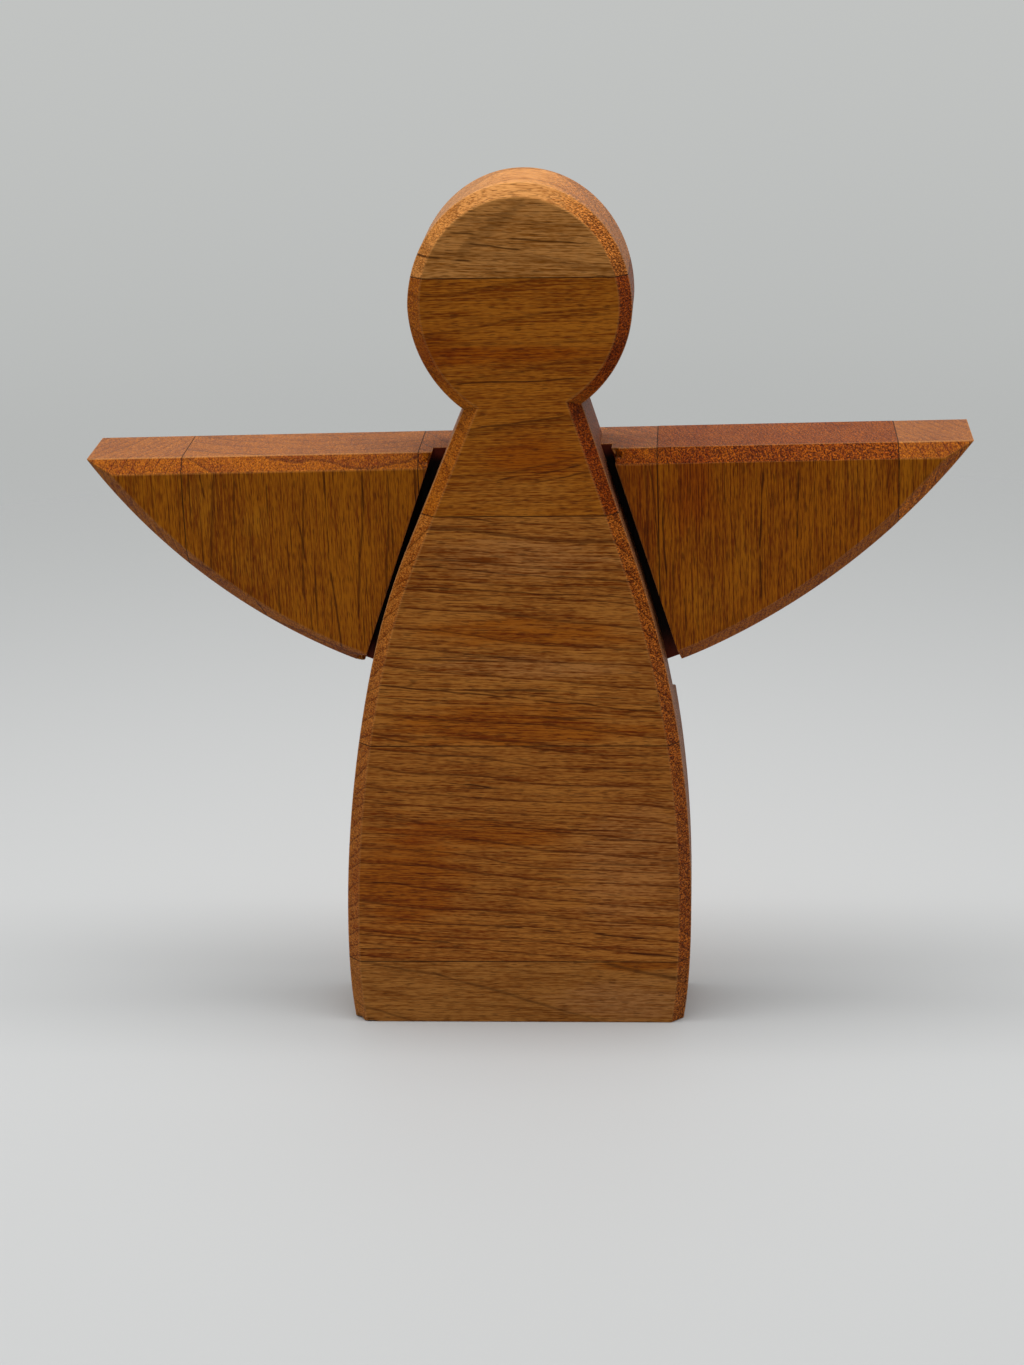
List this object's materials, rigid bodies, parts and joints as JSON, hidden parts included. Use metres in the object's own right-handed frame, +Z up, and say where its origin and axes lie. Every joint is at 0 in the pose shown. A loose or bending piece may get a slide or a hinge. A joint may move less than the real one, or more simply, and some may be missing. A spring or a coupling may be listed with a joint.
{
  "type": "wooden angel figure",
  "caption": "Flat standing wooden angel figure with a round head, bell-shaped body and half-moon wings, lap-jointed from edge-glued boards.",
  "frame": {"origin": "middle of the flat base under the body, half-way through the thickness of the body board, on the floor", "axes": "+Z up, +X to the right of someone facing the front, along the wings, +Y from the front of the figure to its back"},
  "size_m": [0.2424, 0.0355, 0.2397],
  "materials": {
    "body_wood": "oiled, grain lying across the figure, sanded faces and slightly rough sawn edges",
    "wing_wood": "oiled, grain standing upright, sanded faces and slightly rough sawn edges"
  },
  "bodies": {
    "root": {"foot_stave": "body_wood", "skirt_stave": "body_wood", "chest_stave": "body_wood", "face_stave": "body_wood", "crown_stave": "body_wood", "left_tip_stave": "wing_wood", "left_wing_stave": "wing_wood", "centre_wing_stave": "wing_wood", "right_wing_stave": "wing_wood", "right_tip_stave": "wing_wood"}
  },
  "joints": []
}
